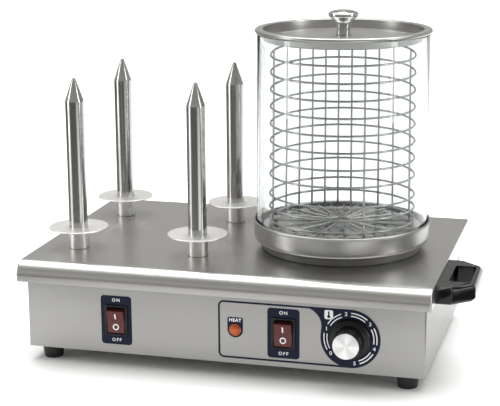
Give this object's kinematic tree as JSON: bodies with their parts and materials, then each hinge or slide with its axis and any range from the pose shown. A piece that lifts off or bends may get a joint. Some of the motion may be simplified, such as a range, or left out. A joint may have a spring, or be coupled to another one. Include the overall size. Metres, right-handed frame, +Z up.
{
  "type": "hot dog steamer with bun spikes",
  "caption": "Countertop hot dog steamer: glass cylinder with lift-out wire basket over a water pan, heated bun spikes with sliding stops, switches and a thermostat dial.",
  "frame": {"origin": "on the worktop under the middle of the overall box", "axes": "+Z up, +X to the operator's right, the control panel faces -Y"},
  "size_m": [0.519, 0.3362, 0.3994],
  "materials": {
    "satin_steel": "fine brushed stainless sheet",
    "polished_steel": "polished stainless",
    "basket_wire": "drawn stainless wire, electropolished",
    "clear_glass": "clear heat-resistant glass",
    "seal_rubber": "matt silicone",
    "foot_rubber": "moulded rubber",
    "black_plastic": "moulded phenolic",
    "printed_label": "printed overlay",
    "red_rocker": "translucent moulding",
    "orange_lens": "translucent moulding",
    "lamp_housing": "moulded",
    "silver_cap": "spun",
    "fastener_steel": "zinc plated",
    "heater_aluminium": "as cast",
    "heater_sheath": "heat darkened",
    "thermostat_case": "pressed",
    "terminal_nylon": "moulded"
  },
  "bodies": {
    "cabinet": {"back_left_foot": "foot_rubber", "back_panel": "satin_steel", "back_right_foot": "foot_rubber", "back_screws": "fastener_steel", "bottom_plate": "satin_steel", "bottom_screws": "fastener_steel", "cabinet_shell": "satin_steel", "cable_gland": "black_plastic", "control_label": "printed_label", "cover": "satin_steel", "cover_nuts": "fastener_steel", "cover_studs": "fastener_steel", "foot_nuts": "fastener_steel", "foot_screws": "fastener_steel", "front_left_foot": "foot_rubber", "front_right_foot": "foot_rubber", "gland_nut": "black_plastic", "handle_screws": "fastener_steel", "heater_element": "heater_sheath", "heater_nuts": "fastener_steel", "heater_plate": "heater_aluminium", "heater_studs": "fastener_steel", "lamp_body": "lamp_housing", "lamp_label": "printed_label", "lamp_lens": "orange_lens", "left_switch_body": "black_plastic", "left_switch_label": "printed_label", "pan_seat_ring": "seal_rubber", "right_switch_body": "black_plastic", "right_switch_label": "printed_label", "side_handle": "black_plastic", "spike_1": "polished_steel", "spike_2": "polished_steel", "spike_3": "polished_steel", "spike_4": "polished_steel", "spike_heaters": "heater_sheath", "spike_nuts": "fastener_steel", "spike_washers": "fastener_steel", "terminal_block": "terminal_nylon", "thermostat_body": "thermostat_case", "thermostat_nut": "fastener_steel", "water_pan": "polished_steel"},
    "glass": {"glass_cylinder": "clear_glass"},
    "lid_assembly": {"lid": "polished_steel", "lid_knob": "polished_steel", "lid_knob_screw": "fastener_steel"},
    "basket": {"basket_rings": "basket_wire", "basket_uprights": "basket_wire", "basket_floor": "basket_wire", "steam_tray": "polished_steel"},
    "left_rocker_body": {"left_rocker": "red_rocker"},
    "right_rocker_body": {"right_rocker": "red_rocker"},
    "dial": {"knob": "black_plastic", "knob_cap": "silver_cap", "thermostat_shaft": "fastener_steel"},
    "stop_1": {"bun_stop_1": "polished_steel"},
    "stop_2": {"bun_stop_2": "polished_steel"},
    "stop_3": {"bun_stop_3": "polished_steel"},
    "stop_4": {"bun_stop_4": "polished_steel"}
  },
  "joints": [
    {"name": "glass_lift", "type": "slide", "parent": "cabinet", "child": "glass", "axis": [0, 0, 1], "range_m": [0, 0.15]},
    {"name": "lid_lift", "type": "slide", "parent": "glass", "child": "lid_assembly", "axis": [0, 0, 1], "range_m": [0, 0.25]},
    {"name": "basket_lift", "type": "slide", "parent": "cabinet", "child": "basket", "axis": [0, 0, 1], "range_m": [0, 0.25]},
    {"name": "left_switch", "type": "hinge", "parent": "cabinet", "child": "left_rocker_body", "pos_m": [-0.1439, -0.1392, 0.0559], "axis": [-1, 0, 0], "range_deg": [0, 18]},
    {"name": "right_switch", "type": "hinge", "parent": "cabinet", "child": "right_rocker_body", "pos_m": [0.0527, -0.1392, 0.0559], "axis": [-1, 0, 0], "range_deg": [0, 18]},
    {"name": "thermostat_dial", "type": "hinge", "parent": "cabinet", "child": "dial", "pos_m": [0.1283, -0.1407, 0.0559], "axis": [0, 1, 0], "range_deg": [0, 300]},
    {"name": "stop_1_slide", "type": "slide", "parent": "cabinet", "child": "stop_1", "axis": [0, 0, 1], "range_m": [0, 0.15]},
    {"name": "stop_2_slide", "type": "slide", "parent": "cabinet", "child": "stop_2", "axis": [0, 0, 1], "range_m": [0, 0.15]},
    {"name": "stop_3_slide", "type": "slide", "parent": "cabinet", "child": "stop_3", "axis": [0, 0, 1], "range_m": [0, 0.15]},
    {"name": "stop_4_slide", "type": "slide", "parent": "cabinet", "child": "stop_4", "axis": [0, 0, 1], "range_m": [0, 0.15]}
  ],
  "couplings": [
    {"joint": "basket_lift", "follows": "lid_lift", "ratio": 1}
  ]
}
